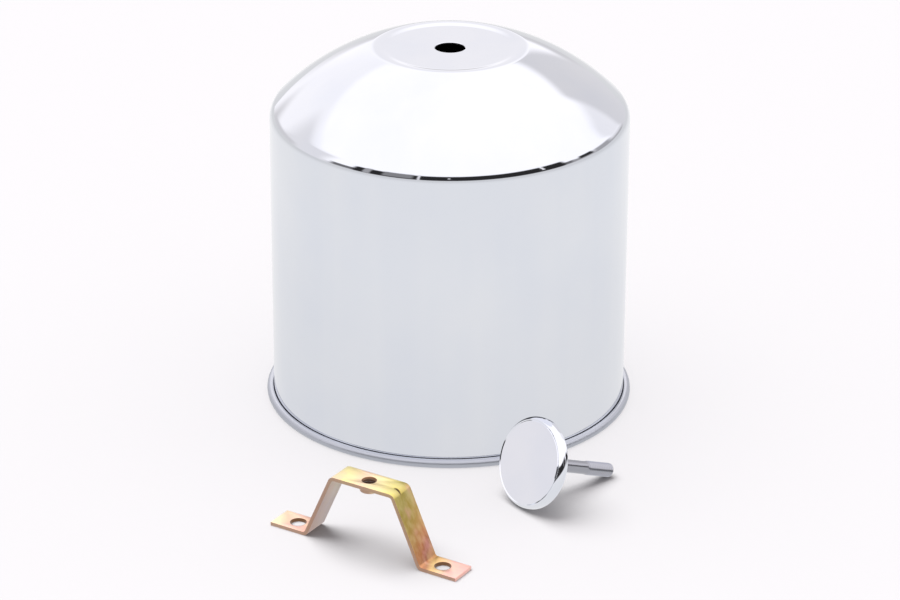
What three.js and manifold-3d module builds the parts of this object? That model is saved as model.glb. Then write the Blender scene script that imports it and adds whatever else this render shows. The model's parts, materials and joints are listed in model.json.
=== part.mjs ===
// Air filter housing for a small engine, laid out as a kit on a flat surface.
// The tall domed cover stands on its rolled rim. In front of it stand the hat-shaped bracket
// that carries the cover on the engine, and the round knob whose threaded stud clamps the cover.
// Millimetres, +Z up. The origin is at the middle of the kit's footprint, on the surface.
import * as THREE from "three";
import { mergeVertices } from "three/addons/utils/BufferGeometryUtils.js";
import Module from "manifold-3d";

// Cover: one deep-drawn steel sheet.
const coverSheet = 0.8;
const coverWallRadius = 76.2; // outside face of the straight wall
const coverWallTop = 127.2; // height at which the straight wall ends
const shoulderRadius = 8.2; // outside radius between wall and dome
const domeRadius = 104; // outside radius of the spherical dome
const plateauRadius = 27.5; // flat seat for the knob, on top of the dome
const plateauRecess = 1.2; // how far the seat is pressed below the dome's edge round it
const plateauSlope = 2.2; // width of the sloping step round the seat
const studHoleRadius = 6.4; // hole in the seat for the knob's stud
const rimRollRadius = 1.9; // outside radius of the sheet rolled outward at the open end

// Bracket: one bent strap. Its shape follows the middle of the sheet.
const strapThickness = 1.5;
const strapWidth = 12;
const strapHeight = 30; // from the feet's underside to the top plate's upper face
const topPlateLength = 28.8; // between the two upper bends' corners
const footSpread = 54.2; // between the two lower bends' corners
const footLength = 16.9; // from a lower bend's corner to the foot's end
const bendRadius = 1.4; // on the inside of each bend
const footHoleFromBend = 7.4; // from the bend's corner to the hole's middle
const footHoleRadius = 3.3;

// Stud and the tapped collar that takes it.
const threadRadius = 2.95; // over the crests
const threadDepth = 0.45;
const studLength = 42; // from the knob's back to the stud's tip
const studThreadLength = 15;
const studTipChamfer = 0.9;
const collarWall = 1.4;
const collarDepth = 2.9; // below the top plate's underside
const collarFlare = 1; // rounding where the collar leaves the strap
const collarMouthChamfer = 0.4;

// Knob: a thick disc with a flat face, pressed and soldered onto the stud.
const knobRadius = 19;
const knobThickness = 4.2;
const knobFaceRounding = 1.8; // in from the rim, across the face
const knobEdgeRounding = 1; // down from the face, along the rim
const knobBackChamfer = 0.4;
const knobSocketDepth = 2.6;
const fitGap = 0.3; // between the stud and its socket in the knob

// Layout of the kit: aside of the cover's axis, and in front of the foremost point of its rim.
const bracketAside = -31.2;
const bracketInFront = 68.2;
const bracketTurn = THREE.MathUtils.degToRad(-32);
const knobAside = 35.9;
const knobInFront = 28;
const knobTurn = THREE.MathUtils.degToRad(36.8);

// How finely round shapes are cut.
const coverSegments = 60;
const knobSegments = 56;
const studSegments = 24;
const holeSegments = 24;
const rimRollStep = Math.PI / 8;
const rimRollSteps = 13; // the roll stops short of the wall that it turns back to

// Sizes that follow from those above.
const coverInnerRadius = coverWallRadius - coverSheet;
const rimRadius = coverInnerRadius + 2 * rimRollRadius;
const threadRootRadius = threadRadius - threadDepth;
const studShankRadius = threadRadius - threadDepth / 2; // a rolled thread rises from its blank
const footEnd = footSpread / 2 + footLength;
const footHoleAside = footSpread / 2 + footHoleFromBend;

const wasm = await Module();
wasm.setup();

const chrome = new THREE.MeshStandardMaterial({ color: 0xdfe2e8, roughness: 0.06, metalness: 1 });
const zinc = new THREE.MeshStandardMaterial({ color: 0xc8ccd0, roughness: 0.3, metalness: 1 });
const yellowZinc = new THREE.MeshStandardMaterial({ color: 0xe3c487, roughness: 0.32, metalness: 1 });

// Points of an arc in the half-plane of a turned profile or of the strap's outline.
function arc(centreX, centreY, radius, fromAngle, toAngle, steps) {
  const points = [];
  for (let i = 0; i <= steps; i++) {
    const angle = fromAngle + ((toAngle - fromAngle) * i) / steps;
    points.push(
      new THREE.Vector2(centreX + radius * Math.cos(angle), centreY + radius * Math.sin(angle)),
    );
  }
  return points;
}

// A profile of (radius, height) points turned about Z.
function turned(profile, segments) {
  return new THREE.LatheGeometry(profile, segments).rotateX(Math.PI / 2);
}

function solidOf(geometry) {
  const bare = geometry.clone();
  bare.deleteAttribute("normal");
  bare.deleteAttribute("uv");
  const merged = mergeVertices(bare, 1e-4);
  const mesh = new wasm.Mesh({
    numProp: 3,
    vertProperties: new Float32Array(merged.attributes.position.array),
    triVerts: new Uint32Array(merged.index.array),
  });
  return new wasm.Manifold(mesh);
}

function geometryOf(solid) {
  const mesh = solid.getMesh();
  const geometry = new THREE.BufferGeometry();
  geometry.setAttribute("position", new THREE.BufferAttribute(mesh.vertProperties, 3));
  geometry.setIndex(new THREE.BufferAttribute(mesh.triVerts, 1));
  return geometry;
}

function namedMesh(name, geometry, material) {
  const mesh = new THREE.Mesh(geometry, material.clone());
  mesh.name = name;
  return mesh;
}

// One face of the cover's sheet from the stud hole to the wall: the seat, its step, the dome and
// the shoulder. The inside face is the same line, moved in by the sheet's thickness.
function coverTopLine(inset) {
  const outsideFillet = coverWallRadius - shoulderRadius;
  const domeCentre = coverWallTop - Math.sqrt((domeRadius - shoulderRadius) ** 2 - outsideFillet ** 2);
  const shoulderAngle = Math.atan2(coverWallTop - domeCentre, outsideFillet);
  const stepRadius = plateauRadius + plateauSlope;
  const stepAngle = Math.acos(stepRadius / domeRadius);
  const seatHeight = domeCentre + domeRadius * Math.sin(stepAngle) - plateauRecess;
  return [
    new THREE.Vector2(studHoleRadius, seatHeight - inset),
    new THREE.Vector2(plateauRadius, seatHeight - inset),
    ...arc(0, domeCentre, domeRadius - inset, stepAngle, shoulderAngle, 6),
    ...arc(outsideFillet, coverWallTop, shoulderRadius - inset, shoulderAngle, 0, 4).slice(1),
  ];
}

function coverShell() {
  const rollCentre = coverInnerRadius + rimRollRadius;
  const rollStart = Math.PI;
  const rollEnd = rollStart + rimRollSteps * rimRollStep;
  const outside = coverTopLine(0);
  const inside = coverTopLine(coverSheet).reverse();
  const rollInside = arc(rollCentre, rimRollRadius, rimRollRadius - coverSheet, rollStart, rollEnd, 7);
  const rollOutside = arc(rollCentre, rimRollRadius, rimRollRadius, rollEnd, rollStart, rimRollSteps);
  const profile = [...outside, ...rollInside, ...rollOutside, ...inside, outside[0].clone()];
  return turned(profile.reverse(), coverSegments);
}

// The middle line of the strap as points with the sheet's normal, bends included.
function strapLine() {
  const middle = strapThickness / 2;
  const corners = [
    new THREE.Vector2(-footEnd, middle),
    new THREE.Vector2(-footSpread / 2, middle),
    new THREE.Vector2(-topPlateLength / 2, strapHeight - middle),
    new THREE.Vector2(topPlateLength / 2, strapHeight - middle),
    new THREE.Vector2(footSpread / 2, middle),
    new THREE.Vector2(footEnd, middle),
  ];
  const middleRadius = bendRadius + middle;
  const bendSteps = 5;
  const line = [];
  const directions = corners.slice(1).map((corner, i) => corner.clone().sub(corners[i]).normalize());
  const normalTo = (direction) => new THREE.Vector2(-direction.y, direction.x);
  line.push({ point: corners[0], normal: normalTo(directions[0]) });
  for (let i = 1; i < corners.length - 1; i++) {
    const before = directions[i - 1];
    const after = directions[i];
    const turn = Math.atan2(before.cross(after), before.dot(after));
    const setback = middleRadius * Math.tan(Math.abs(turn) / 2);
    const side = Math.sign(turn);
    const start = corners[i].clone().addScaledVector(before, -setback);
    const centre = start.clone().addScaledVector(normalTo(before), side * middleRadius);
    for (let step = 0; step <= bendSteps; step++) {
      const normal = normalTo(before).rotateAround(new THREE.Vector2(), (turn * step) / bendSteps);
      const point = centre.clone().addScaledVector(normal, -side * middleRadius);
      line.push({ point, normal });
    }
  }
  line.push({ point: corners[corners.length - 1], normal: normalTo(directions[directions.length - 1]) });
  return line;
}

function strapBody() {
  const line = strapLine();
  const face = (side) =>
    line.map(({ point, normal }) => point.clone().addScaledVector(normal, (side * strapThickness) / 2));
  const outline = new THREE.Shape([...face(-1), ...face(1).reverse()]);
  const geometry = new THREE.ExtrudeGeometry(outline, { depth: strapWidth, bevelEnabled: false });
  return geometry.rotateX(Math.PI / 2).translate(0, strapWidth / 2, 0);
}

// The collar is drawn down out of the strap round the tapped hole.
function collarBody() {
  const outer = threadRootRadius + collarWall;
  const underside = strapHeight - strapThickness;
  const bottom = underside - collarDepth;
  const flare = arc(outer + collarFlare, underside - collarFlare, collarFlare, Math.PI, Math.PI / 2, 3);
  const profile = [
    new THREE.Vector2(0, bottom),
    new THREE.Vector2(outer - collarFlare / 2, bottom),
    new THREE.Vector2(outer, bottom + collarFlare / 2),
    ...flare,
    new THREE.Vector2(outer + collarFlare, underside + strapThickness / 2),
    new THREE.Vector2(0, underside + strapThickness / 2),
  ];
  return turned(profile, holeSegments);
}

function tappedHole() {
  const mouth = threadRootRadius + collarMouthChamfer;
  const profile = [
    new THREE.Vector2(0, 0),
    new THREE.Vector2(threadRootRadius, 0),
    new THREE.Vector2(threadRootRadius, strapHeight - collarMouthChamfer),
    new THREE.Vector2(mouth, strapHeight),
    new THREE.Vector2(mouth, strapHeight + strapThickness),
    new THREE.Vector2(0, strapHeight + strapThickness),
  ];
  return turned(profile, holeSegments);
}

function footHole(side) {
  const height = 4 * strapThickness;
  const cylinder = new THREE.CylinderGeometry(footHoleRadius, footHoleRadius, height, holeSegments);
  return cylinder.rotateX(Math.PI / 2).translate(side * footHoleAside, 0, 0);
}

function mountingBracket() {
  let solid = solidOf(strapBody()).add(solidOf(collarBody()));
  for (const hole of [tappedHole(), footHole(-1), footHole(1)]) solid = solid.subtract(solidOf(hole));
  return geometryOf(solid);
}

// The knob's own frame: origin at the middle of the disc's back, +Z along the stud to its tip.
function knobCap() {
  const edge = arc(0, 0, 1, Math.PI, Math.PI * 1.5, 5).map(
    ({ x, y }) =>
      new THREE.Vector2(
        knobRadius - knobFaceRounding * (1 + y),
        -knobThickness + knobEdgeRounding * (1 + x),
      ),
  );
  const socketRadius = studShankRadius + fitGap;
  const profile = [
    new THREE.Vector2(0, -knobThickness),
    ...edge,
    new THREE.Vector2(knobRadius, -knobBackChamfer),
    new THREE.Vector2(knobRadius - knobBackChamfer, 0),
    new THREE.Vector2(socketRadius, 0),
    new THREE.Vector2(socketRadius, -knobSocketDepth),
    new THREE.Vector2(0, -knobSocketDepth),
  ];
  return turned(profile, knobSegments);
}

function knobStud() {
  const threadStart = studLength - studThreadLength;
  const runOut = threadRadius - studShankRadius;
  const profile = [
    new THREE.Vector2(0, fitGap - knobSocketDepth),
    new THREE.Vector2(studShankRadius, fitGap - knobSocketDepth),
    new THREE.Vector2(studShankRadius, threadStart),
    new THREE.Vector2(threadRadius, threadStart + runOut),
    new THREE.Vector2(threadRadius, studLength - studTipChamfer),
    new THREE.Vector2(threadRadius - studTipChamfer, studLength),
    new THREE.Vector2(0, studLength),
  ];
  return turned(profile, studSegments);
}

// The knob lies on the edge of its disc and on the last crest of its stud.
function placedKnob() {
  const reach = studLength - studTipChamfer + knobBackChamfer;
  const tilt = Math.atan2(knobRadius - threadRadius, reach);
  const height = knobRadius * Math.cos(tilt) - knobBackChamfer * Math.sin(tilt);
  const knob = new THREE.Group();
  knob.add(namedMesh("knob_cap", knobCap(), chrome));
  knob.add(namedMesh("knob_stud", knobStud(), zinc));
  knob.rotation.set(0, Math.PI / 2 + tilt, knobTurn, "ZYX");
  knob.position.set(knobAside, -rimRadius - knobInFront, height);
  return knob;
}

function placedBracket() {
  const bracket = new THREE.Group();
  bracket.add(namedMesh("mounting_bracket", mountingBracket(), yellowZinc));
  bracket.rotation.z = bracketTurn;
  bracket.position.set(bracketAside, -rimRadius - bracketInFront, 0);
  return bracket;
}

const kit = new THREE.Group();
kit.add(namedMesh("cover_shell", coverShell(), chrome));
kit.add(placedBracket());
kit.add(placedKnob());

// The kit's footprint is centred on the origin.
kit.updateMatrixWorld(true);
const footprint = new THREE.Box3().setFromObject(kit, true);
const centre = footprint.getCenter(new THREE.Vector3());
kit.position.set(-centre.x, -centre.y, -footprint.min.z);

export default kit;
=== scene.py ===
import json
import math

import bmesh
import bpy
from mathutils import Matrix, Vector


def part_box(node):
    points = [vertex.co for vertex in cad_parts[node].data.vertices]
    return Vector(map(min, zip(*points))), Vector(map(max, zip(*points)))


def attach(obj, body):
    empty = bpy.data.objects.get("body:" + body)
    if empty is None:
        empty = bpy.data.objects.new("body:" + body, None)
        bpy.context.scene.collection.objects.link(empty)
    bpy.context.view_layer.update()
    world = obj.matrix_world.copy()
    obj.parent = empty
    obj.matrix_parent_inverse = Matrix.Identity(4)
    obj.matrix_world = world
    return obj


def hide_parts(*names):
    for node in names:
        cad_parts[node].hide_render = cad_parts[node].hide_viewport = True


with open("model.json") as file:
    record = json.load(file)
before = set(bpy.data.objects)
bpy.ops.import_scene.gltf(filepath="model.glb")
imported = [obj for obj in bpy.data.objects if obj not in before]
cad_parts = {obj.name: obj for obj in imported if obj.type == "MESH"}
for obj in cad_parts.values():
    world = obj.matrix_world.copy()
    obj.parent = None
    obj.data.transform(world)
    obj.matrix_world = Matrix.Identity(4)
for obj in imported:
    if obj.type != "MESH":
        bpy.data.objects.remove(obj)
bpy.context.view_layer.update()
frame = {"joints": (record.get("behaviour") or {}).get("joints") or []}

MM = 0.001
scene = bpy.context.scene
scene.view_settings.view_transform = "Standard"

# Cover, from its CAD box and the sizes that a box can't tell.
COVER_SHEET = 0.8 * MM
COVER_SHOULDER = 8.2 * MM
COVER_DOME = 104 * MM
COVER_WALL_TOP = 127.2 * MM
COVER_SEGMENTS = 288
ROLL_WIDTH = 3.8 * MM
ROLL_HEIGHT = 3.8 * MM
ROLL_SWEEP = math.radians(292)
SEAT_RADIUS = 27.5 * MM
SEAT_RECESS = 1.2 * MM
SEAT_SLOPE = 2.2 * MM
SEAT_HUMP = 0.14 * MM
SEAT_SOFTNESS = 1.9 * MM
SEAT_STEPS = 18
STUD_HOLE = 6.4 * MM
HOLE_EDGE_OUTSIDE = 0.25 * MM
HOLE_EDGE_INSIDE = 0.1 * MM

# Bracket.
STRAP_THICKNESS = 1.5 * MM
STRAP_WIDTH = 12 * MM
TOP_PLATE_LENGTH = 28.8 * MM
FOOT_SPREAD = 54.2 * MM
FOOT_LENGTH = 16.9 * MM
FOOT_END = FOOT_SPREAD / 2 + FOOT_LENGTH
BEND_RADIUS = 1.4 * MM
BEND_STEPS = 8
FOOT_HOLE_FROM_BEND = 7.4 * MM
FOOT_HOLE_ASIDE = FOOT_SPREAD / 2 + FOOT_HOLE_FROM_BEND
FOOT_HOLE = 3.3 * MM
BRACKET_TURN = math.radians(-32)
COLLAR_WALL = 1.4 * MM
COLLAR_DEPTH = 2.9 * MM
COLLAR_FLARE = 1.0 * MM
COLLAR_ROUNDING = 0.5 * MM
TAP_MOUTH = 0.15 * MM
TAP_LEAD = 0.6 * MM
EDGE_BEVEL = 0.18 * MM
NICK_PLACE = Vector((13.6 * MM, -0.8 * MM, 29.9 * MM))
NICK_SIZE = (2.3 * MM, 0.50 * MM, 0.85 * MM)
NICK_TILT = math.radians(30)
NICK_TURN = math.radians(-14)

# Knob and thread.
THREAD_RADIUS = 2.95 * MM
THREAD_DEPTH = 0.45 * MM
THREAD_PITCH = 1.0 * MM
THREAD_STEPS = 10
THREAD_FLANK = 1.35
THREAD_ROOT_FLAT = 0.1
THREAD_RUN_OUT = 1.2 * MM
SHANK_RADIUS = 2.72 * MM
STUD_IN_SOCKET = 2.3 * MM
STUD_LENGTH = 42 * MM
STUD_THREAD = 15 * MM
TIP_CHAMFER = 0.9 * MM
KNOB_RADIUS = 19 * MM
KNOB_THICKNESS = 4.2 * MM
KNOB_FACE_ROUNDING = 1.8 * MM
KNOB_ROUND_DEPTH = 2.8 * MM
KNOB_CREASE = math.radians(68)
KNOB_GROOVE_WALL = 0.45 * MM
KNOB_GROOVE_DEPTH = 0.22 * MM
KNOB_BACK_ROUNDING = 0.4 * MM
SOCKET_CLEARANCE = 0.05 * MM
SOCKET_CHAMFER = 0.2 * MM
SOCKET_DEPTH = 2.6 * MM


# ---------------------------------------------------------------- meshes

def arc(cx, cy, rx, ry, start, end, steps):
    """Points of an elliptic arc as (x, y), angles in radians."""
    return [
        (
            cx + rx * math.cos(start + (end - start) * i / steps),
            cy + ry * math.sin(start + (end - start) * i / steps),
        )
        for i in range(steps + 1)
    ]


def object_from(name, vertices, faces, smooth_angle=35):
    mesh = bpy.data.meshes.new(name)
    mesh.from_pydata(vertices, [], faces)
    mesh.validate()
    mesh.polygons.foreach_set("use_smooth", [True] * len(mesh.polygons))
    mesh.set_sharp_from_angle(angle=math.radians(smooth_angle))
    obj = bpy.data.objects.new(name, mesh)
    scene.collection.objects.link(obj)
    return obj


def revolve(name, profile, segments, closed, smooth_angle=35):
    """A profile of (radius, height) points turned about Z. An open profile starts and ends on the axis."""
    rings = profile if closed else profile[1:-1]
    count = len(rings)
    vertices = []
    for radius, height in rings:
        for s in range(segments):
            turn = 2 * math.pi * s / segments
            vertices.append((radius * math.cos(turn), radius * math.sin(turn), height))
    faces = []
    for i in range(count if closed else count - 1):
        j = (i + 1) % count
        for s in range(segments):
            t = (s + 1) % segments
            faces.append((i * segments + s, i * segments + t, j * segments + t, j * segments + s))
    if not closed:
        for end, ring, forward in ((profile[0], 0, False), (profile[-1], count - 1, True)):
            vertices.append((0, 0, end[1]))
            tip = len(vertices) - 1
            for s in range(segments):
                a = ring * segments + s
                b = ring * segments + (s + 1) % segments
                faces.append((a, b, tip) if forward else (b, a, tip))
    return object_from(name, vertices, faces, smooth_angle)


def face_outward(obj):
    """Turns the faces of a closed mesh outward."""
    bm = bmesh.new()
    bm.from_mesh(obj.data)
    bmesh.ops.recalc_face_normals(bm, faces=bm.faces)
    if bm.calc_volume(signed=True) < 0:
        bmesh.ops.reverse_faces(bm, faces=bm.faces)
    bm.to_mesh(obj.data)
    bm.free()
    return obj


def apply_modifiers(obj):
    depsgraph = bpy.context.evaluated_depsgraph_get()
    mesh = bpy.data.meshes.new_from_object(obj.evaluated_get(depsgraph))
    obj.modifiers.clear()
    obj.data = mesh


def combine(obj, other, operation):
    modifier = obj.modifiers.new(operation.lower(), "BOOLEAN")
    modifier.operation = operation
    modifier.solver = "EXACT"
    modifier.object = other
    apply_modifiers(obj)
    bpy.data.objects.remove(other)


# ---------------------------------------------------------------- cover

def dome_centre_height():
    across = math.sqrt((COVER_DOME - COVER_SHOULDER) ** 2 - (cover_radius - COVER_SHOULDER) ** 2)
    return COVER_WALL_TOP - across


def seat_height():
    """The flat round the stud hole lies SEAT_RECESS below the dome's edge."""
    edge = SEAT_RADIUS + SEAT_SLOPE
    return dome_centre_height() + math.sqrt(COVER_DOME**2 - edge**2) - SEAT_RECESS


def cubic_between(start, end, end_rise, t):
    """A cubic from start, where it is level, to end, where it rises by end_rise for each unit of t."""
    return start * (1 + 2 * t) * (1 - t) ** 2 + end * t * t * (3 - 2 * t) + end_rise * t * t * (t - 1)


def seat_step(end_angle, inset):
    """The soft step from the flat seat up to the dome, which it meets at end_angle."""
    start = SEAT_RADIUS - SEAT_SOFTNESS
    run = COVER_DOME * math.cos(end_angle) - start
    end_height = dome_centre_height() + COVER_DOME * math.sin(end_angle)
    end_rise = -run / math.tan(end_angle)
    points = []
    for i in range(1, SEAT_STEPS):
        t = i / SEAT_STEPS
        hump = SEAT_HUMP * (4 * t * (1 - t)) ** 2
        height = cubic_between(seat_height(), end_height, end_rise, t) + hump
        points.append((start + run * t, height - inset))
    return points


def cover_top(inset, dome_steps, shoulder_steps):
    """One face of the cover's sheet from the stud hole out to the top of the wall."""
    outside = inset == 0
    seat = seat_height() - inset
    edge = HOLE_EDGE_OUTSIDE if outside else HOLE_EDGE_INSIDE
    lip = [(STUD_HOLE, seat - edge if outside else seat + edge), (STUD_HOLE + edge, seat)]
    seat_ring = [(SEAT_RADIUS * 0.6, seat), (SEAT_RADIUS - SEAT_SOFTNESS, seat)]
    dome_start = math.acos((SEAT_RADIUS + SEAT_SLOPE + 2 * SEAT_SOFTNESS) / COVER_DOME)
    dome_centre = dome_centre_height()
    fillet_centre = cover_radius - COVER_SHOULDER
    shoulder = math.atan2(COVER_WALL_TOP - dome_centre, fillet_centre)
    radius = COVER_DOME - inset
    dome = arc(0, dome_centre, radius, radius, dome_start, shoulder, dome_steps)
    corner = COVER_SHOULDER - inset
    fillet = arc(fillet_centre, COVER_WALL_TOP, corner, corner, shoulder, 0, shoulder_steps)
    return lip + seat_ring + seat_step(dome_start, inset) + dome + fillet[1:]


def make_cover():
    """The drawn sheet, outside and inside, with its rim rolled outward."""
    roll_x = cover_radius - COVER_SHEET + ROLL_WIDTH / 2
    roll_z = ROLL_HEIGHT / 2
    start, end = math.pi, math.pi + ROLL_SWEEP
    outside = cover_top(0, 40, 14)
    inside = cover_top(COVER_SHEET, 40, 10)[::-1]
    inner = (ROLL_WIDTH / 2 - COVER_SHEET, ROLL_HEIGHT / 2 - COVER_SHEET)
    roll_inside = arc(roll_x, roll_z, *inner, start, end, 28)
    roll_outside = arc(roll_x, roll_z, ROLL_WIDTH / 2, ROLL_HEIGHT / 2, end, start, 40)
    profile = outside + roll_inside + roll_outside + inside
    cover = face_outward(revolve("cover", profile, COVER_SEGMENTS, closed=True))
    cover.location = (cover_axis.x, cover_axis.y, 0)
    return cover


def darken_inside(cover):
    """Gives the inner faces above the rolled rim the cover's second material, a dark grey that is partly
    painted shade.
    """
    for polygon in cover.data.polygons:
        aside = Vector((polygon.center.x, polygon.center.y, 0))
        within = aside.length < cover_radius - COVER_SHEET / 2
        above_roll = polygon.center.z > ROLL_HEIGHT / 2
        below_seat = polygon.center.z < seat_height() - COVER_SHEET / 2
        facing_in = polygon.normal.dot(aside.normalized()) < -0.2 or polygon.normal.z < -0.3
        if within and above_roll and below_seat and facing_in:
            polygon.material_index = 1


# ---------------------------------------------------------------- thread

def threaded_rod(name, sections, segments):
    """A rod along Z with a right-hand thread. sections are (z, core radius, thread share, most radius)."""
    low, high = sections[0][0], sections[-1][0]
    count = round((high - low) / THREAD_PITCH * THREAD_STEPS)
    vertices, faces = [], []
    for j in range(count + 1):
        z = low + (high - low) * j / count
        k = max(i for i in range(len(sections) - 1) if sections[i][0] <= z + 1e-9)
        a, b = sections[k], sections[k + 1]
        t = (z - a[0]) / (b[0] - a[0]) if b[0] > a[0] else 0
        core, share, most = (a[i] + (b[i] - a[i]) * t for i in (1, 2, 3))
        for s in range(segments):
            turn = 2 * math.pi * s / segments
            phase = (z / THREAD_PITCH - s / segments) % 1
            ridge = THREAD_FLANK * (1 - abs(2 * phase - 1)) - THREAD_ROOT_FLAT
            cut = THREAD_RADIUS - THREAD_DEPTH * (1 - min(1, max(0, ridge)))
            radius = min(most, core * (1 - share) + cut * share)
            vertices.append((radius * math.cos(turn), radius * math.sin(turn), z))
    for j in range(count):
        for s in range(segments):
            t = (s + 1) % segments
            faces.append(
                (j * segments + s, j * segments + t, (j + 1) * segments + t, (j + 1) * segments + s)
            )
    for ring, end_z, flip in ((0, low, True), (count, high, False)):
        vertices.append((0, 0, end_z))
        tip = len(vertices) - 1
        for s in range(segments):
            a, b = ring * segments + s, ring * segments + (s + 1) % segments
            faces.append((b, a, tip) if flip else (a, b, tip))
    return object_from(name, vertices, faces, 45)


# ---------------------------------------------------------------- bracket

def strap_line():
    """The middle line of the strap as (point, normal) pairs in its own XZ plane."""
    middle = STRAP_THICKNESS / 2
    half = [(FOOT_END, middle), (FOOT_SPREAD / 2, middle), (TOP_PLATE_LENGTH / 2, strap_height - middle)]
    corners = [Vector((-x, z)) for x, z in half] + [Vector((x, z)) for x, z in reversed(half)]
    directions = [(b - a).normalized() for a, b in zip(corners, corners[1:])]
    radius = BEND_RADIUS + middle

    def normal_to(d):
        return Vector((-d.y, d.x))

    line = [(corners[0], normal_to(directions[0]))]
    for i in range(1, len(corners) - 1):
        before, after = directions[i - 1], directions[i]
        turn = math.atan2(before.x * after.y - before.y * after.x, before.dot(after))
        side = math.copysign(1, turn)
        start = corners[i] - before * radius * math.tan(abs(turn) / 2)
        centre = start + normal_to(before) * side * radius
        for step in range(BEND_STEPS + 1):
            normal = Matrix.Rotation(turn * step / BEND_STEPS, 2) @ normal_to(before)
            line.append((centre - normal * side * radius, normal))
    line.append((corners[-1], normal_to(directions[-1])))
    return line


def strap_body():
    """The bent strap, square-edged and without its holes."""
    line = strap_line()
    half_t, half_w = STRAP_THICKNESS / 2, STRAP_WIDTH / 2
    vertices = []
    for point, normal in line:
        for side, across in ((-1, -1), (1, -1), (1, 1), (-1, 1)):
            place = point + normal * side * half_t
            vertices.append((place.x, across * half_w, place.y))
    faces = []
    for i in range(len(line) - 1):
        for k in range(4):
            n = (k + 1) % 4
            faces.append((i * 4 + k, i * 4 + n, (i + 1) * 4 + n, (i + 1) * 4 + k))
    last = (len(line) - 1) * 4
    faces += [(3, 2, 1, 0), (last, last + 1, last + 2, last + 3)]
    return face_outward(object_from("bracket", vertices, faces))


def collar():
    """The collar drawn down out of the top plate, still solid."""
    outer = THREAD_RADIUS - THREAD_DEPTH + COLLAR_WALL
    under = strap_height - STRAP_THICKNESS
    bottom = under - COLLAR_DEPTH
    corner_x, corner_z = outer - COLLAR_ROUNDING, bottom + COLLAR_ROUNDING
    flare_x, flare_z = outer + COLLAR_FLARE, under - COLLAR_FLARE
    inside_strap = under + STRAP_THICKNESS / 2
    profile = [(0, bottom), (corner_x, bottom)]
    profile += arc(corner_x, corner_z, COLLAR_ROUNDING, COLLAR_ROUNDING, -math.pi / 2, 0, 6)[1:]
    profile += arc(flare_x, flare_z, COLLAR_FLARE, COLLAR_FLARE, math.pi, math.pi / 2, 8)
    profile += [(flare_x, inside_strap), (0, inside_strap)]
    return face_outward(revolve("collar", profile, 64, closed=False))


def foot_hole_cutter(aside):
    low, high = -MM, 4 * MM
    profile = [(0, low), (FOOT_HOLE, low), (FOOT_HOLE, high), (0, high)]
    cutter = face_outward(revolve("hole", profile, 64, closed=False))
    cutter.data.transform(Matrix.Translation((aside, 0, 0)))
    return cutter


def nick_cutter():
    """A small flattened ball beside the bend."""
    ball = bmesh.new()
    bmesh.ops.create_uvsphere(ball, u_segments=24, v_segments=12, radius=1.0)
    turn = Matrix.Rotation(NICK_TILT, 4, "Y") @ Matrix.Rotation(NICK_TURN, 4, "Z")
    ball.transform(Matrix.Translation(NICK_PLACE) @ turn @ Matrix.Diagonal((*NICK_SIZE, 1)))
    mesh = bpy.data.meshes.new("nick")
    ball.to_mesh(mesh)
    ball.free()
    cutter = bpy.data.objects.new("nick", mesh)
    scene.collection.objects.link(cutter)
    return cutter


def tap_cutter():
    """The thread that the stud screws into, opening into a wider mouth on top."""
    bottom = strap_height - STRAP_THICKNESS - COLLAR_DEPTH
    root = THREAD_RADIUS - THREAD_DEPTH
    mouth = THREAD_RADIUS + TAP_MOUTH
    sections = [
        (bottom - MM, root, 1, mouth),
        (strap_height - TAP_LEAD, root, 1, mouth),
        (strap_height, mouth, 0, mouth),
        (strap_height + MM, mouth, 0, mouth),
    ]
    return face_outward(threaded_rod("tap", sections, 32))


def soften_edges(obj):
    bevel = obj.modifiers.new("edges", "BEVEL")
    bevel.width = EDGE_BEVEL
    bevel.segments = 2
    bevel.limit_method = "ANGLE"
    bevel.angle_limit = math.radians(50)
    bevel.use_clamp_overlap = True
    apply_modifiers(obj)
    obj.data.polygons.foreach_set("use_smooth", [True] * len(obj.data.polygons))
    obj.data.set_sharp_from_angle(angle=math.radians(40))


def make_bracket():
    bracket = strap_body()
    combine(bracket, collar(), "UNION")
    for side in (-1, 1):
        combine(bracket, foot_hole_cutter(side * FOOT_HOLE_ASIDE), "DIFFERENCE")
    combine(bracket, nick_cutter(), "DIFFERENCE")
    combine(bracket, tap_cutter(), "DIFFERENCE")
    soften_edges(bracket)
    bracket.location = (bracket_middle.x, bracket_middle.y, 0)
    bracket.rotation_euler = (0, 0, BRACKET_TURN)
    return bracket


# ---------------------------------------------------------------- knob

def make_knob_cap():
    """A disc with a shallow groove round its flat face and one round edge from there to the back."""
    face = KNOB_RADIUS - KNOB_FACE_ROUNDING
    front = -KNOB_THICKNESS
    groove = [(face - KNOB_GROOVE_DEPTH, front), (face, front + KNOB_GROOVE_DEPTH)]
    across = (KNOB_FACE_ROUNDING - KNOB_GROOVE_WALL) / (1 - math.cos(KNOB_CREASE))
    deep = KNOB_ROUND_DEPTH / math.sin(KNOB_CREASE)
    edge = arc(KNOB_RADIUS - across, front + KNOB_ROUND_DEPTH, across, deep, -KNOB_CREASE, 0, 24)
    back = KNOB_BACK_ROUNDING
    socket = SHANK_RADIUS + SOCKET_CLEARANCE
    profile = [(0, front), (face * 0.5, front)] + groove + edge
    profile += arc(KNOB_RADIUS - back, -back, back, back, 0, math.pi / 2, 6)
    profile += [(socket + SOCKET_CHAMFER, 0), (socket, -SOCKET_CHAMFER)]
    profile += [(socket, -SOCKET_DEPTH), (0, -SOCKET_DEPTH)]
    return face_outward(revolve("knob_disc", profile, 192, closed=False, smooth_angle=25))


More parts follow.
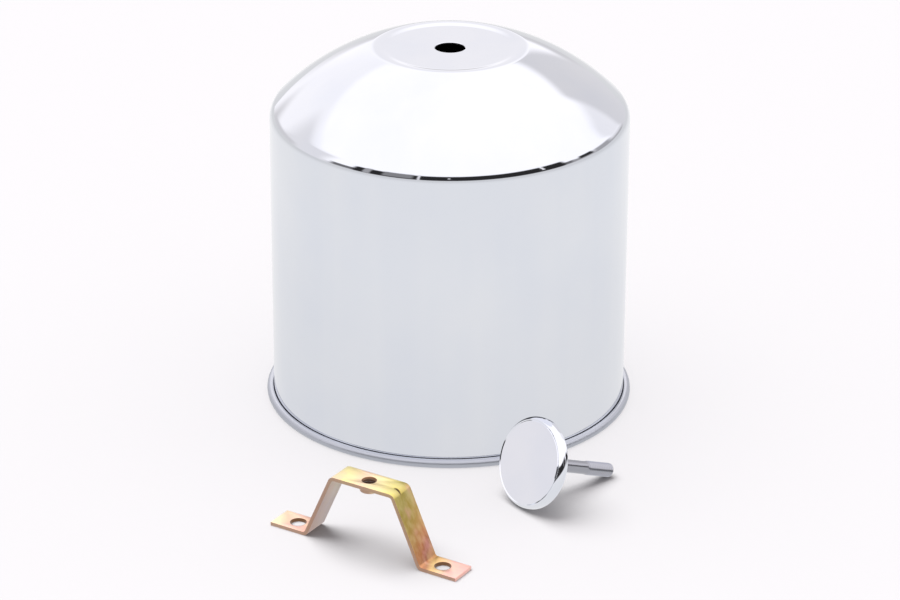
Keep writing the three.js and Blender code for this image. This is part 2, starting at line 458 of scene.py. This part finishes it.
def make_knob_stud():
    """A plain shank that stands in the disc's socket, with a rolled thread on its far end."""
    start = STUD_LENGTH - STUD_THREAD
    tip = STUD_LENGTH - TIP_CHAMFER
    sections = [
        (-STUD_IN_SOCKET, SHANK_RADIUS, 0, SHANK_RADIUS),
        (start, SHANK_RADIUS, 0, THREAD_RADIUS),
        (start + THREAD_RUN_OUT, SHANK_RADIUS, 1, THREAD_RADIUS),
        (tip, SHANK_RADIUS, 1, THREAD_RADIUS),
        (STUD_LENGTH, SHANK_RADIUS, 1, THREAD_RADIUS - TIP_CHAMFER),
    ]
    return face_outward(threaded_rod("knob_stud_threaded", sections, 40))


# ---------------------------------------------------------------- materials

class Graph:
    """Short calls for building a node material."""

    def __init__(self, name):
        self.material = bpy.data.materials.new(name)
        self.material.use_nodes = True
        self.tree = self.material.node_tree
        self.shader = self.tree.nodes["Principled BSDF"]

    def add(self, kind, **values):
        node = self.tree.nodes.new("ShaderNode" + kind)
        for key, value in values.items():
            setattr(node, key, value)
        return node

    def link(self, output, socket):
        self.tree.links.new(output, socket)

    def set(self, socket, value):
        if isinstance(value, bpy.types.NodeSocket):
            self.link(value, socket)
        else:
            socket.default_value = value

    def coordinates(self, scale=(1, 1, 1)):
        source = self.add("TexCoord")
        mapping = self.add("Mapping")
        mapping.inputs["Scale"].default_value = scale
        self.link(source.outputs["Object"], mapping.inputs["Vector"])
        return mapping.outputs["Vector"]

    def noise(self, vector, scale, detail, distortion=0.0):
        node = self.add("TexNoise")
        self.link(vector, node.inputs["Vector"])
        node.inputs["Scale"].default_value = scale
        node.inputs["Detail"].default_value = detail
        node.inputs["Distortion"].default_value = distortion
        return node.outputs["Fac"]

    def ramp(self, factor, stops):
        node = self.add("ValToRGB")
        elements = node.color_ramp.elements
        while len(elements) < len(stops):
            elements.new(0.5)
        for element, (place, colour) in zip(elements, stops):
            element.position = place
            element.color = (*colour, 1)
        self.link(factor, node.inputs["Fac"])
        return node.outputs["Color"]

    def spread(self, factor, low, high, to_low, to_high):
        node = self.add("MapRange")
        self.link(factor, node.inputs["Value"])
        for key, value in zip(("From Min", "From Max", "To Min", "To Max"), (low, high, to_low, to_high)):
            node.inputs[key].default_value = value
        return node.outputs["Result"]

    def math(self, operation, *values):
        node = self.add("Math", operation=operation)
        for socket, value in zip(node.inputs, values):
            self.set(socket, value)
        return node.outputs[0]

    def mix(self, factor, a, b):
        node = self.add("Mix", data_type="RGBA")
        self.set(node.inputs["Factor"], factor)
        self.set(node.inputs["A"], a)
        self.set(node.inputs["B"], b)
        return node.outputs["Result"]

    def bump(self, height, strength, distance, normal=None):
        node = self.add("Bump")
        self.link(height, node.inputs["Height"])
        node.inputs["Strength"].default_value = strength
        node.inputs["Distance"].default_value = distance
        if normal is not None:
            self.link(normal, node.inputs["Normal"])
        return node.outputs["Normal"]


# Colours of the four finishes, and how rough each one is.
COVER_CHROME = ((0.750, 0.768, 0.806), 0.035)
# The inside's dark grey is partly duller plating and partly painted shade, for the dark inside of the
# closed cover.
COVER_INSIDE_SHADED = ((0.13, 0.13, 0.14), 0.36)
KNOB_CHROME = ((0.785, 0.80, 0.84), 0.03)
STUD_ZINC = ((0.52, 0.53, 0.58), 0.13)
DULL_RIM_HEIGHT = 4.0 * MM
DULL_RIM_ROUGHNESS = 0.34

# Noise scales are in features a metre.
CHROME_CLOUDS = 22
CHROME_POLISH = (60, 60, 3)
CHROME_PULL = 45
CHROME_PEEL = 700
ROOT_COLOUR = (0.16, 0.15, 0.15)
EDGE_COLOUR = (0.47, 0.49, 0.54)
ROOT_DARK_REACH = 0.45 * MM


def chrome(name, colour, roughness, edge_height=0.0, edge_roughness=0.0, root_radius=0.0):
    """Polished plating with a soft cloudy tone and faint upright polishing lines.

    Up to edge_height it is duller and greyer. Near root_radius, in the roots of a thread, it is darker.
    """
    g = Graph(name)
    g.shader.inputs["Metallic"].default_value = 1.0
    plain = g.coordinates()
    clouds = g.noise(plain, CHROME_CLOUDS, detail=3)
    upright = g.noise(g.coordinates(CHROME_POLISH), 1, detail=2)
    tone = g.math("ADD", g.math("MULTIPLY", clouds, 0.6), g.math("MULTIPLY", upright, 0.4))
    darker = tuple(c * k for c, k in zip(colour, (0.955, 0.965, 0.985)))
    plating = g.ramp(tone, [(0.38, darker), (0.62, colour)])
    finish = g.spread(clouds, 0.3, 0.7, roughness, roughness * 1.7)
    if edge_height:
        height = g.add("SeparateXYZ")
        g.link(plain, height.inputs[0])
        low = g.spread(height.outputs["Z"], edge_height, edge_height * 0.9, 0, 1)
        finish = g.math("MULTIPLY_ADD", low, edge_roughness, finish)
        plating = g.mix(low, plating, (*EDGE_COLOUR, 1))
    if root_radius:
        flat = g.add("VectorMath", operation="MULTIPLY")
        g.link(plain, flat.inputs[0])
        flat.inputs[1].default_value = (1, 1, 0)
        reach = g.add("VectorMath", operation="LENGTH")
        g.link(flat.outputs[0], reach.inputs[0])
        # Darker towards the roots of the thread.
        root_dark = g.spread(reach.outputs["Value"], root_radius + ROOT_DARK_REACH, root_radius, 0, 0.75)
        plating = g.mix(root_dark, plating, (*ROOT_COLOUR, 1))
    g.link(plating, g.shader.inputs["Base Color"])
    g.link(finish, g.shader.inputs["Roughness"])
    pull = g.noise(g.coordinates((1, 1, 0.25)), CHROME_PULL, detail=1)
    orange_peel = g.noise(plain, CHROME_PEEL, detail=2)
    soft = g.bump(pull, 0.06, 0.0015)
    g.link(g.bump(orange_peel, 0.02, 0.0001, soft), g.shader.inputs["Normal"])
    return g.material


# The film's colour by the distance along the strap from its middle, in millimetres. Its darker stops on
# the legs are partly painted shade, and the darkest, at the bends into the feet, are painted shade in the
# creases.
STRAP_COLOURS = [
    (-44, (0.84, 0.66, 0.44)),
    (-34, (0.82, 0.50, 0.40)),
    # Painted shade where the left leg bends into its foot.
    (-27, (0.48, 0.27, 0.20)),
    (-21, (0.46, 0.34, 0.34)),
    (-16, (0.62, 0.52, 0.36)),
    (-10, (0.84, 0.74, 0.32)),
    (-2, (0.84, 0.60, 0.42)),
    (6, (0.84, 0.70, 0.34)),
    (12, (0.72, 0.62, 0.20)),
    (16, (0.44, 0.34, 0.075)),
    (19, (0.50, 0.34, 0.08)),
    (22.5, (0.60, 0.33, 0.12)),
    (25.5, (0.58, 0.22, 0.09)),
    # Painted shade in the crease where the right leg bends into its foot.
    (28, (0.36, 0.075, 0.03)),
    (30.5, (0.74, 0.46, 0.16)),
    (34, (0.86, 0.56, 0.30)),
    (38, (0.90, 0.50, 0.42)),
    (44, (0.92, 0.50, 0.44)),
]
STRAP_EDGE = (0.40, 0.25, 0.18)
# Painted shade on the strap's downward faces.
STRAP_UNDER_SHADE = (0.42, 0.32, 0.29)
HOLE_WALL = (0.20, 0.10, 0.05)
HOLE_DEEP_SHADE = (0.045, 0.020, 0.010)
NICK_COLOUR = (0.12, 0.08, 0.035)
STREAK_COLOUR = (0.92, 0.80, 0.46)
BLUSH_COLOUR = (0.84, 0.46, 0.40)
FILM_DRIFT = 70
FILM_STREAKS = 260
FILM_BLUSH = 130
STRAP_GRAIN = 1600
FILM_WANDER = 1.7 * MM


def film_and_shade_along_strap(g, plain, place):
    """The plating's colour along the strap, whose borders wander and run slightly aslant. Its darker stops
    are partly painted shade.
    """
    drift = g.noise(plain, FILM_DRIFT, detail=3, distortion=0.5)
    wander = g.spread(drift, 0.25, 0.75, -FILM_WANDER, FILM_WANDER)
    across = g.math("MULTIPLY", place.outputs["Y"], 0.35)
    along = g.math("ADD", g.math("ADD", place.outputs["X"], wander), across)
    stops = [((x * MM + FOOT_END) / (2 * FOOT_END), colour) for x, colour in STRAP_COLOURS]
    return g.ramp(g.spread(along, -FOOT_END, FOOT_END, 0, 1), stops)


def brown_holes(g, film_and_shade, place):
    """Browns the walls of the three holes, and darkens the tapped one with its depth as painted shade."""
    for centre, radius, deep in (
        (0, THREAD_RADIUS, HOLE_DEEP_SHADE),
        (-FOOT_HOLE_ASIDE, FOOT_HOLE, HOLE_WALL),
        (FOOT_HOLE_ASIDE, FOOT_HOLE, HOLE_WALL),
    ):
        flat = g.add("CombineXYZ")
        g.link(place.outputs["X"], flat.inputs["X"])
        g.link(place.outputs["Y"], flat.inputs["Y"])
        distance = g.add("VectorMath", operation="DISTANCE")
        g.link(flat.outputs[0], distance.inputs[0])
        distance.inputs[1].default_value = (centre, 0, 0)
        wall = g.spread(distance.outputs["Value"], radius + 0.22 * MM, radius + 0.05 * MM, 0, 1)
        # Painted shade: the tapped hole's wall darkens towards its bottom.
        depth = g.spread(place.outputs["Z"], strap_height - 0.2 * MM, strap_height - 1.6 * MM, 0, 1)
        brown = g.mix(depth, (*HOLE_WALL, 1), (*deep, 1))
        film_and_shade = g.mix(wall, film_and_shade, brown)
    return film_and_shade


def bruise_nick(g, film_and_shade, plain):
    """Darkens the strap's colour in the nick, by the distance in the ball that cut it."""
    ball = g.add("Mapping", vector_type="TEXTURE")
    ball.inputs["Location"].default_value = NICK_PLACE
    ball.inputs["Rotation"].default_value = (0, NICK_TILT, NICK_TURN)
    ball.inputs["Scale"].default_value = NICK_SIZE
    g.link(plain, ball.inputs["Vector"])
    from_nick = g.add("VectorMath", operation="LENGTH")
    g.link(ball.outputs["Vector"], from_nick.inputs[0])
    bruise = g.spread(from_nick.outputs["Value"], 1.25, 0.95, 0, 0.9)
    return g.mix(bruise, film_and_shade, (*NICK_COLOUR, 1))


def yellow_zinc():
    """Passivated zinc: its colour drifts along the strap, from yellow through pink to copper. Painted
    shade darkens the bends, partly the legs, the downward faces and the deep tapped hole.
    """
    g = Graph("yellow_zinc")
    g.shader.inputs["Metallic"].default_value = 0.8
    plain = g.coordinates()
    place = g.add("SeparateXYZ")
    g.link(plain, place.inputs[0])
    # Colour along the strap, partly painted shade at the bends and on the legs.
    film_and_shade = film_and_shade_along_strap(g, plain, place)
    streaks = g.noise(g.coordinates((0.35, 1.6, 1)), FILM_STREAKS, detail=4)
    film_and_shade = g.mix(g.spread(streaks, 0.40, 0.7, 0, 0.28), film_and_shade, (*STREAK_COLOUR, 1))
    blush = g.noise(g.coordinates((1, 1.4, 1)), FILM_BLUSH, detail=2)
    film_and_shade = g.mix(g.spread(blush, 0.52, 0.72, 0, 0.45), film_and_shade, (*BLUSH_COLOUR, 1))
    normal = g.add("SeparateXYZ")
    g.link(g.add("TexCoord").outputs["Normal"], normal.inputs[0])
    side = g.math("ABSOLUTE", normal.outputs["Y"])
    film_and_shade = g.mix(g.spread(side, 0.5, 0.9, 0, 0.85), film_and_shade, (*STRAP_EDGE, 1))
    # Painted shade: faces turned downwards, such as the inside of the arch, are darker.
    film_and_shade = g.mix(g.spread(normal.outputs["Z"], -0.1, -0.4, 0, 0.6), film_and_shade, (*STRAP_UNDER_SHADE, 1))
    film_and_shade = bruise_nick(g, brown_holes(g, film_and_shade, place), plain)
    g.link(film_and_shade, g.shader.inputs["Base Color"])
    g.link(g.spread(streaks, 0.3, 0.7, 0.28, 0.40), g.shader.inputs["Roughness"])
    grain = g.noise(g.coordinates((0.3, 1, 1)), STRAP_GRAIN, detail=3)
    g.link(g.bump(grain, 0.12, 0.0002), g.shader.inputs["Normal"])
    return g.material


def white_floor():
    """Matt paper. The chrome mirrors a painted glow in its place: even, dimmer far off, with painted shade
    beside the cover and dark under it.
    """
    g = Graph("white_floor")
    g.shader.inputs["Base Color"].default_value = (*FLOOR_COLOUR, 1)
    g.shader.inputs["Roughness"].default_value = 1.0
    g.shader.inputs["Specular IOR Level"].default_value = 0.0
    glow = g.add("Emission")
    glow.inputs["Color"].default_value = (*FLOOR_GLOW, 1)
    place = g.add("TexCoord").outputs["Object"]
    distance = g.add("VectorMath", operation="DISTANCE")
    g.link(place, distance.inputs[0])
    distance.inputs[1].default_value = (cover_axis.x, cover_axis.y, 0)
    # Painted shade: the glow is off under the cover and dimmer beside it.
    outside = g.math("GREATER_THAN", distance.outputs["Value"], cover_radius)
    beside, even_from, even_to, far_off = (cover_radius + reach for reach in GLOW_REACHES)
    near = g.spread(distance.outputs["Value"], beside, even_from, GLOW_SHADED_BESIDE_COVER, 1.0)
    far = g.spread(distance.outputs["Value"], even_to, far_off, 1.0, GLOW_FAR_OFF)
    open_floor = g.math("MULTIPLY", outside, near)
    g.link(g.math("MULTIPLY", open_floor, far), glow.inputs["Strength"])
    # Mirrored rays see the painted glow instead of the lit paper.
    mirrored = g.add("LightPath").outputs["Is Glossy Ray"]
    mixed = g.add("MixShader")
    g.link(mirrored, mixed.inputs["Fac"])
    g.link(g.shader.outputs[0], mixed.inputs[1])
    g.link(glow.outputs[0], mixed.inputs[2])
    g.link(mixed.outputs[0], g.tree.nodes["Material Output"].inputs["Surface"])
    return g.material


# ---------------------------------------------------------------- studio

SKY = 1.36
BACKDROP = (0.99, 0.965, 0.99)
FLOOR_COLOUR = (0.305, 0.300, 0.305)
FLOOR_SIZE = 60
FLOOR_GLOW = (0.98, 0.975, 0.985)
GLOW_SHADED_BESIDE_COVER = 0.93
GLOW_FAR_OFF = 0.84
GLOW_REACHES = (0, 0.22, 0.33, 0.9)  # metres out from the cover's wall
KEY_STRENGTH = 7.0
KEY_SPREAD = math.radians(55)
KEY_DIRECTION = (-0.30, 0.24, 0.92)
CAMERA_ELEVATION = math.radians(24.29)
CAMERA_DISTANCE = 1524 * MM
CAMERA_LENS = 140.83
CAMERA_ROLL = math.radians(0.25)
CAMERA_AIM = (0.43 * MM, 41.95 * MM)


def make_camera():
    data = bpy.data.cameras.new("camera")
    data.lens = CAMERA_LENS
    data.sensor_width = 36
    data.clip_start = 0.01
    data.clip_end = 100
    camera = bpy.data.objects.new("camera", data)
    scene.collection.objects.link(camera)
    back = Vector((0, -math.cos(CAMERA_ELEVATION), math.sin(CAMERA_ELEVATION)))
    camera.location = Vector((CAMERA_AIM[0], cover_axis.y, CAMERA_AIM[1])) + back * CAMERA_DISTANCE
    turn = Matrix.Rotation(math.pi / 2 - CAMERA_ELEVATION, 3, "X") @ Matrix.Rotation(CAMERA_ROLL, 3, "Z")
    camera.rotation_euler = turn.to_euler()
    scene.camera = camera


def make_floor():
    bpy.ops.mesh.primitive_plane_add(size=FLOOR_SIZE, location=(0, 0, 0))
    floor = bpy.context.object
    floor.name = "floor"
    floor.data.materials.append(white_floor())


# The tent round the object. Each patch spans an azimuth and an elevation, both as (from, to,
# softness) in degrees, and then comes its brightness. Azimuth is counted from the camera's side, +
# to the right, and "behind" either way from straight behind. A later patch lies over an earlier one.
PATCHES = [
    ("azimuth", (-400, 400, 1), (-90, 6, 3), 0.76),
    ("azimuth", (-166, -84, 10), (-20, 38, 2.5), 1.22),
    ("azimuth", (-129, -84, 7), (-20, 34, 2.5), 0.98),
    ("azimuth", (118, 140, 3), (-20, 12, 4), 0.98),
    ("azimuth", (124, 140, 4), (12, 30, 4), 1.10),
    ("azimuth", (139, 165, 2.5), (-20, 35, 3), 0.86),
    ("behind", (-400, 11, 5), (9, 30, 5), 1.10),
    ("azimuth", (-152, -112, 5), (-20, 10, 4), 0.80),
    ("azimuth", (117, 139, 4), (-20, 5, 3), 0.55),
    ("azimuth", (101, 120, 4), (-20, 14, 3), 0.48),
    ("azimuth", (-78, 84, 3), (2, 13, 2), 0.20),
    ("azimuth", (82, 101, 2), (2, 11, 2), 0.42),
    ("azimuth", (-62, 76, 2), (1, 24, 2.5), 0.03),
    ("azimuth", (88, 100, 1.5), (5, 16, 2), 0.04),
    ("azimuth", (-42, -23, 1.5), (5, 26, 3), 0.30),
    ("azimuth", (-55, -50, 1), (2, 26, 3), 0.45),
    ("azimuth", (-20, -18.4, 0.6), (0, 28, 2), 1.00),
    ("azimuth", (59, 60.6, 0.6), (8, 30, 2), 1.20),
    ("azimuth", (-1, 0.4, 0.5), (10, 16, 1), 0.80),
]


def make_world():
    """A white tent with a dark room in front and grey gaps to the sides, which the chrome mirrors."""
    world = bpy.data.worlds.new("tent")
    world.use_nodes = True
    scene.world = world
    tree = world.node_tree
    nodes, links = tree.nodes, tree.links

    def maths(operation, *values):
        node = nodes.new("ShaderNodeMath")
        node.operation = operation
        for i, value in enumerate(values):
            if isinstance(value, bpy.types.NodeSocket):
                links.new(value, node.inputs[i])
            else:
                node.inputs[i].default_value = value
        return node.outputs[0]

    def step(value, start, end):
        node = nodes.new("ShaderNodeMapRange")
        node.interpolation_type = "SMOOTHSTEP"
        links.new(value, node.inputs["Value"])
        node.inputs["From Min"].default_value = start
        node.inputs["From Max"].default_value = end
        return node.outputs["Result"]

    def between(value, low, high, soft):
        rise = step(value, low - soft, low + soft)
        fall = step(value, high + soft, high - soft)
        return maths("MULTIPLY", rise, fall)

    direction = nodes.new("ShaderNodeTexCoord").outputs["Generated"]
    split = nodes.new("ShaderNodeSeparateXYZ")
    links.new(direction, split.inputs[0])
    x, y, z = split.outputs
    degrees = 180 / math.pi
    elevation = maths("MULTIPLY", maths("ARCSINE", z), degrees)
    azimuth = maths("MULTIPLY", maths("ARCTAN2", x, maths("MULTIPLY", y, -1.0)), degrees)
    behind = maths("SUBTRACT", 180.0, maths("ABSOLUTE", azimuth))
    around = {"azimuth": azimuth, "behind": behind}
    light = SKY
    for which, across, upright, level in PATCHES:
        mask = maths("MULTIPLY", between(around[which], *across), between(elevation, *upright))
        light = maths("MULTIPLY_ADD", mask, maths("SUBTRACT", level, light), light)
    camera_ray = nodes.new("ShaderNodeLightPath").outputs["Is Camera Ray"]
    light = maths("MULTIPLY_ADD", camera_ray, maths("SUBTRACT", 1.0, light), light)
    background = nodes["Background"]
    background.inputs["Color"].default_value = (*BACKDROP, 1)
    links.new(light, background.inputs["Strength"])


def make_key_light(shadow_makers):
    """The soft lamp behind on the left, which only the small parts shade."""
    data = bpy.data.lights.new("key", "SUN")
    data.energy = KEY_STRENGTH
    data.angle = KEY_SPREAD
    key = bpy.data.objects.new("key", data)
    scene.collection.objects.link(key)
    key.rotation_euler = Vector(KEY_DIRECTION).to_track_quat("Z", "Y").to_euler()
    key.visible_glossy = False
    casters = bpy.data.collections.new("shadow_makers")
    for obj in shadow_makers:
        casters.objects.link(obj)
    key.light_linking.blocker_collection = casters


# ---------------------------------------------------------------- build

cover_low, cover_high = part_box("cover_shell")
cover_axis = (cover_low + cover_high) / 2
cover_radius = (cover_high.x - cover_low.x) / 2 - ROLL_WIDTH + COVER_SHEET
bracket_low, bracket_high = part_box("mounting_bracket")
bracket_middle = (bracket_low + bracket_high) / 2
strap_height = bracket_high.z
knob_joint = next(j for j in frame["joints"] if j["name"] == "knob_turn")

make_camera()
make_floor()
make_world()

cover_chrome = chrome("cover_chrome", *COVER_CHROME, DULL_RIM_HEIGHT, DULL_RIM_ROUGHNESS)
cover_inside_shaded = chrome("cover_inside_shaded", *COVER_INSIDE_SHADED)
knob_chrome = chrome("knob_chrome", *KNOB_CHROME)
stud_zinc = chrome("stud_zinc", *STUD_ZINC, root_radius=THREAD_RADIUS - THREAD_DEPTH)

cover = make_cover()
cover.data.materials.append(cover_chrome)
cover.data.materials.append(cover_inside_shaded)
darken_inside(cover)
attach(cover, "cover")
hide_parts("cover_shell")

bracket = make_bracket()
bracket.data.materials.append(yellow_zinc())
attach(bracket, "bracket")
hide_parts("mounting_bracket")
small_parts = [bracket]

knob_turn = Vector(knob_joint["axis"]).to_track_quat("Z", "X").to_matrix().to_4x4()
knob_place = Matrix.Translation(knob_joint["pos_m"]) @ knob_turn
for piece, node, slot, material in (
    (make_knob_cap(), "knob_cap", "knob_chrome", knob_chrome),
    (make_knob_stud(), "knob_stud", "stud_zinc", stud_zinc),
):
    piece.data.materials.append(material)
    piece.matrix_world = knob_place
    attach(piece, "knob")
    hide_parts(node)
    small_parts.append(piece)

# Each piece is lit as if it stood alone, so the cover doesn't mirror the small ones.
for piece in small_parts:
    piece.visible_glossy = False
make_key_light(small_parts)
